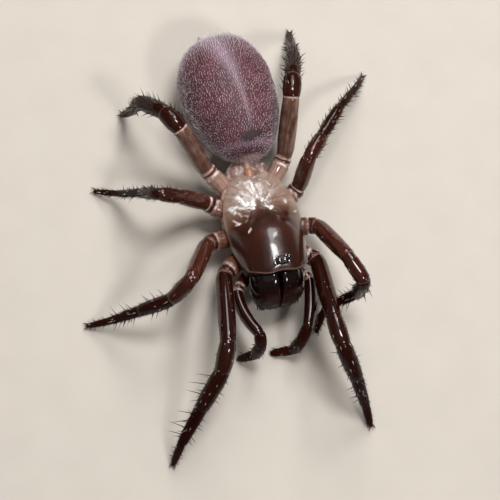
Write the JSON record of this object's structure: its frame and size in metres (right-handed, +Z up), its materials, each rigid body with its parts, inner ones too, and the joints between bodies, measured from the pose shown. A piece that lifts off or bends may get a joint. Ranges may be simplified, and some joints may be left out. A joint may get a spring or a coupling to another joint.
{
  "type": "trapdoor spider model",
  "caption": "Still life-size trapdoor spider standing on its feet, with domed head shield, large forward jaws, feelers, bristly legs and an egg-shaped velvety abdomen.",
  "frame": {"origin": "on the ground, under the middle of the leg span", "axes": "+Z up, -Y ahead of the animal, +X to the animal's own left"},
  "size_m": [0.0158, 0.0198, 0.0055],
  "materials": {
    "carapace": "thin glossy horn-like shield, greyish brown and slightly clear behind, dark brown in front",
    "membrane": "pale pinkish soft skin with a satin shine",
    "waist": "glossy amber joint skin",
    "abdomen": "purple-brown velvety skin with short pale hairs lying backwards",
    "jaws": "near-black polished horn-like surface",
    "fangs": "black polished horn, reddish at the root",
    "eyes": "dark clear lenses on a black mound",
    "spinnerets": "matt tan skin with fine hairs",
    "leg_upper": "glossy dark reddish brown horn-like surface, greyer and clearer on the rear pair",
    "leg_middle": "glossy dark brown with dark bristles",
    "leg_lower": "satin dark brown, densely bristled"
  },
  "bodies": {
    "root": {"abdomen": "abdomen", "breast_plate": "membrane", "carapace": "carapace", "chelicera_left": "jaws", "chelicera_right": "jaws", "eye_mound": "eyes", "fang_left": "fangs", "fang_right": "fangs", "leg_left_1_femur": "leg_upper", "leg_left_1_tarsus": "leg_lower", "leg_left_1_tibia": "leg_middle", "leg_left_2_femur": "leg_upper", "leg_left_2_tarsus": "leg_lower", "leg_left_2_tibia": "leg_middle", "leg_left_3_femur": "leg_upper", "leg_left_3_tarsus": "leg_lower", "leg_left_3_tibia": "leg_middle", "leg_left_4_femur": "leg_upper", "leg_left_4_tarsus": "leg_lower", "leg_left_4_tibia": "leg_middle", "leg_right_1_femur": "leg_upper", "leg_right_1_tarsus": "leg_lower", "leg_right_1_tibia": "leg_middle", "leg_right_2_femur": "leg_upper", "leg_right_2_tarsus": "leg_lower", "leg_right_2_tibia": "leg_middle", "leg_right_3_femur": "leg_upper", "leg_right_3_tarsus": "leg_lower", "leg_right_3_tibia": "leg_middle", "leg_right_4_femur": "leg_upper", "leg_right_4_tarsus": "leg_lower", "leg_right_4_tibia": "leg_middle", "palp_left_femur": "leg_upper", "palp_left_tarsus": "leg_lower", "palp_right_femur": "leg_upper", "palp_right_tarsus": "leg_lower", "pedicel": "waist", "spinneret_left": "spinnerets", "spinneret_right": "spinnerets"}
  },
  "joints": []
}
